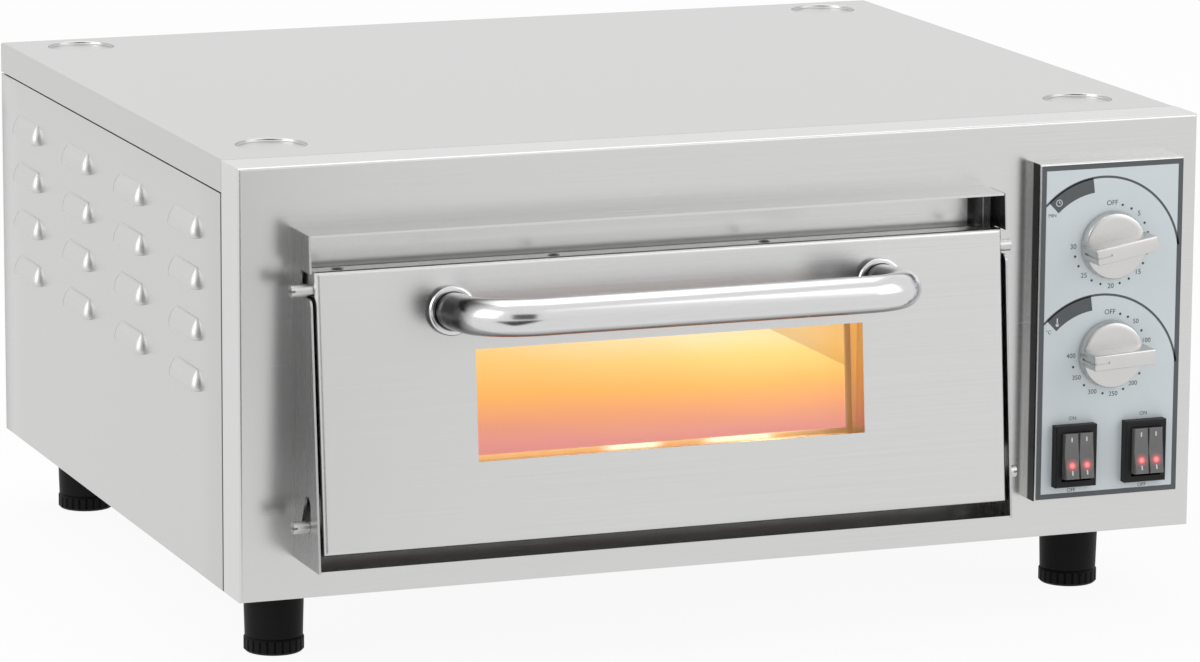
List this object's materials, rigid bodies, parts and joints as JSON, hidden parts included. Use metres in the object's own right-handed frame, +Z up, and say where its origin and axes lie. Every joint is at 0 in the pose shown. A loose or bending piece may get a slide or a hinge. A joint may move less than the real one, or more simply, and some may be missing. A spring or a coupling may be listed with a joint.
{
  "type": "electric pizza oven",
  "caption": "Countertop electric pizza oven in brushed steel: bottom-hinged drop-down glass door with bar handle, dial and rocker controls beside it, louvred sides.",
  "frame": {"origin": "on the table, under the middle of the whole oven's bounding box", "axes": "+X to the right seen from the front, +Y to the back, +Z up; the door faces -Y"},
  "size_m": [0.5692, 0.5822, 0.28],
  "materials": {
    "stainless_sheet": "brushed stainless sheet, 1 mm",
    "chamber_sheet": "heat-resistant sheet, satin",
    "fastener_steel": "turned steel",
    "polished_steel": "polished steel tube",
    "element_sheath": "oxidised steel sheath",
    "window_glass": "heat-resistant clear glass",
    "lamp_glass": "clear lamp glass",
    "lamp_ceramic": "unglazed ceramic",
    "fire_stone": "sandy refractory slab",
    "ceramic_wool": "ceramic wool felt",
    "printed_fascia": "printed film, satin",
    "knob_plastic": "moulded plastic, satin silver grey",
    "mechanism_plastic": "moulded plastic",
    "black_plastic": "moulded black plastic",
    "rocker_plastic": "smoky translucent plastic",
    "foot_plastic": "black glass-filled plastic"
  },
  "bodies": {
    "casing": {"back_panel": "stainless_sheet", "baking_stone": "fire_stone", "base_tray": "stainless_sheet", "cable_gland": "black_plastic", "chamber_back": "chamber_sheet", "chamber_floor": "chamber_sheet", "chamber_wrap": "chamber_sheet", "control_fascia": "printed_fascia", "control_tray": "stainless_sheet", "door_hood": "stainless_sheet", "door_sill": "stainless_sheet", "element_brackets": "chamber_sheet", "foot_sleeves": "foot_plastic", "front_panel": "stainless_sheet", "heat_shield": "chamber_sheet", "insulation_back": "ceramic_wool", "insulation_bottom": "ceramic_wool", "insulation_sides": "ceramic_wool", "insulation_top": "ceramic_wool", "lamp_bulb": "lamp_glass", "lamp_holder": "lamp_ceramic", "lamp_lens": "lamp_glass", "left_cheek": "stainless_sheet", "left_side_panel": "stainless_sheet", "left_switch_housing": "black_plastic", "lower_heating_element": "element_sheath", "right_cheek": "stainless_sheet", "right_side_panel": "stainless_sheet", "right_switch_housing": "black_plastic", "stone_rails": "chamber_sheet", "temperature_probe": "fastener_steel", "thermostat_body": "mechanism_plastic", "throat_frame": "chamber_sheet", "timer_body": "mechanism_plastic", "top_cover": "stainless_sheet", "upper_heating_element": "element_sheath"},
    "door": {"door_skin": "stainless_sheet", "door_pan": "stainless_sheet", "outer_glass": "window_glass", "inner_glass": "window_glass", "window_frame": "chamber_sheet", "door_insulation": "ceramic_wool", "handle_tube": "polished_steel", "handle_rosettes": "polished_steel", "handle_bolts": "fastener_steel", "door_pins": "fastener_steel", "door_screws": "fastener_steel"},
    "timer_dial": {"timer_knob": "knob_plastic", "timer_shaft": "fastener_steel"},
    "thermostat_dial": {"thermostat_knob": "knob_plastic", "thermostat_shaft": "fastener_steel"},
    "left_left_rocker": {"left_switch_left_rocker": "rocker_plastic"},
    "left_right_rocker": {"left_switch_right_rocker": "rocker_plastic"},
    "right_left_rocker": {"right_switch_left_rocker": "rocker_plastic"},
    "right_right_rocker": {"right_switch_right_rocker": "rocker_plastic"},
    "front_left_foot": {"foot_adjuster_front_left": "foot_plastic"},
    "front_right_foot": {"foot_adjuster_front_right": "foot_plastic"},
    "back_left_foot": {"foot_adjuster_back_left": "foot_plastic"},
    "back_right_foot": {"foot_adjuster_back_right": "foot_plastic"}
  },
  "joints": [
    {"name": "door_hinge", "type": "hinge", "parent": "casing", "child": "door", "pos_m": [-0.0495, -0.21783, 0.0905], "axis": [1, 0, 0], "range_deg": [0, 90]},
    {"name": "timer_turn", "type": "hinge", "parent": "casing", "child": "timer_dial", "pos_m": [0.2215, -0.20732, 0.212], "axis": [0, 1, 0], "range_deg": [-260, 10]},
    {"name": "thermostat_turn", "type": "hinge", "parent": "casing", "child": "thermostat_dial", "pos_m": [0.2215, -0.20732, 0.1505], "axis": [0, 1, 0], "range_deg": [-267, 3]},
    {"name": "left_left_rocker_press", "type": "hinge", "parent": "casing", "child": "left_left_rocker", "pos_m": [0.1957, -0.20672, 0.0945], "axis": [1, 0, 0], "range_deg": [0, 12]},
    {"name": "left_right_rocker_press", "type": "hinge", "parent": "casing", "child": "left_right_rocker", "pos_m": [0.2047, -0.20672, 0.0945], "axis": [1, 0, 0], "range_deg": [0, 12]},
    {"name": "right_left_rocker_press", "type": "hinge", "parent": "casing", "child": "right_left_rocker", "pos_m": [0.2383, -0.20672, 0.0945], "axis": [1, 0, 0], "range_deg": [0, 12]},
    {"name": "right_right_rocker_press", "type": "hinge", "parent": "casing", "child": "right_right_rocker", "pos_m": [0.2473, -0.20672, 0.0945], "axis": [1, 0, 0], "range_deg": [0, 12]},
    {"name": "front_left_foot_screw", "type": "slide", "parent": "casing", "child": "front_left_foot", "axis": [0, 0, -1], "range_m": [0, 0.012]},
    {"name": "front_right_foot_screw", "type": "slide", "parent": "casing", "child": "front_right_foot", "axis": [0, 0, -1], "range_m": [0, 0.012]},
    {"name": "back_left_foot_screw", "type": "slide", "parent": "casing", "child": "back_left_foot", "axis": [0, 0, -1], "range_m": [0, 0.012]},
    {"name": "back_right_foot_screw", "type": "slide", "parent": "casing", "child": "back_right_foot", "axis": [0, 0, -1], "range_m": [0, 0.012]}
  ]
}
